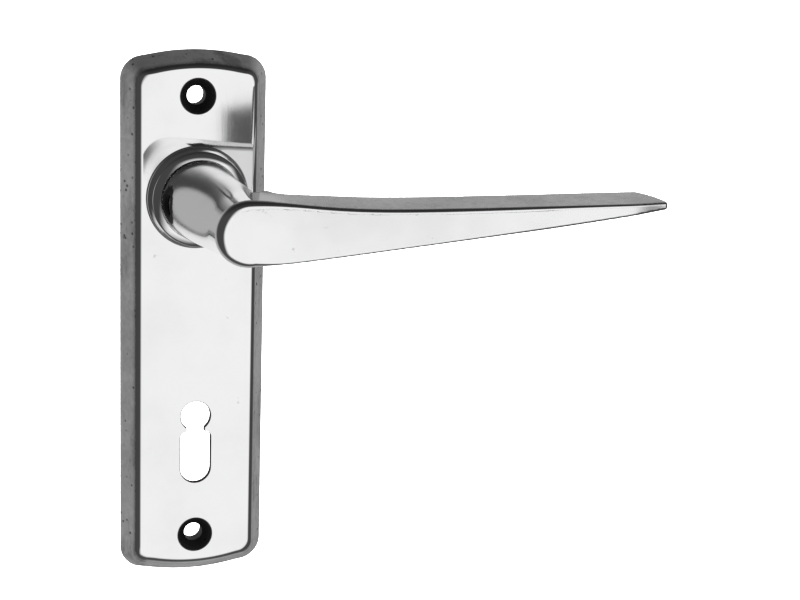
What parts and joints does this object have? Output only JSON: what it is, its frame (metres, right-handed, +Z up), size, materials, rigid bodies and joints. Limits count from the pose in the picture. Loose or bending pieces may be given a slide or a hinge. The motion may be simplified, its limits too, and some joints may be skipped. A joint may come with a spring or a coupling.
{
  "type": "door lever handle",
  "caption": "Cast lever handle on a long back plate with countersunk fixing holes, a keyhole and a square spindle for a mortice lock.",
  "frame": {"origin": "on the turning axis of the lever and spindle, in the plane of the door face (the back rim of the plate)", "axes": "+X along the lever towards its tip, +Y into the door along the spindle, +Z up"},
  "size_m": [0.1588, 0.126, 0.1724],
  "materials": {
    "plate_aluminium": "polished front, as-cast leaning side walls",
    "lever_aluminium": "polished front and neck, satin top",
    "bush_nylon": "natural moulded nylon",
    "washer_steel": "zinc plated",
    "spring_wire": "drawn spring wire",
    "screw_steel": "blackened",
    "spindle_steel": "cold drawn, zinc plated",
    "carrier_steel": "zinc plated",
    "ring_steel": "phosphated spring steel"
  },
  "bodies": {
    "plate": {"back_plate": "plate_aluminium", "bearing_bush": "bush_nylon", "thrust_washer": "washer_steel", "return_spring": "spring_wire"},
    "lever": {"lever": "lever_aluminium", "grub_screw": "screw_steel", "spindle": "spindle_steel", "spring_carrier": "carrier_steel", "retaining_ring": "ring_steel"}
  },
  "joints": [
    {"name": "lever_turn", "type": "hinge", "parent": "plate", "child": "lever", "pos_m": [0, 0, 0], "axis": [0, 1, 0], "range_deg": [0, 42], "stiffness_Nm_per_rad": 0.6, "springref_deg": -14.32, "deforming": ["return_spring"]}
  ]
}
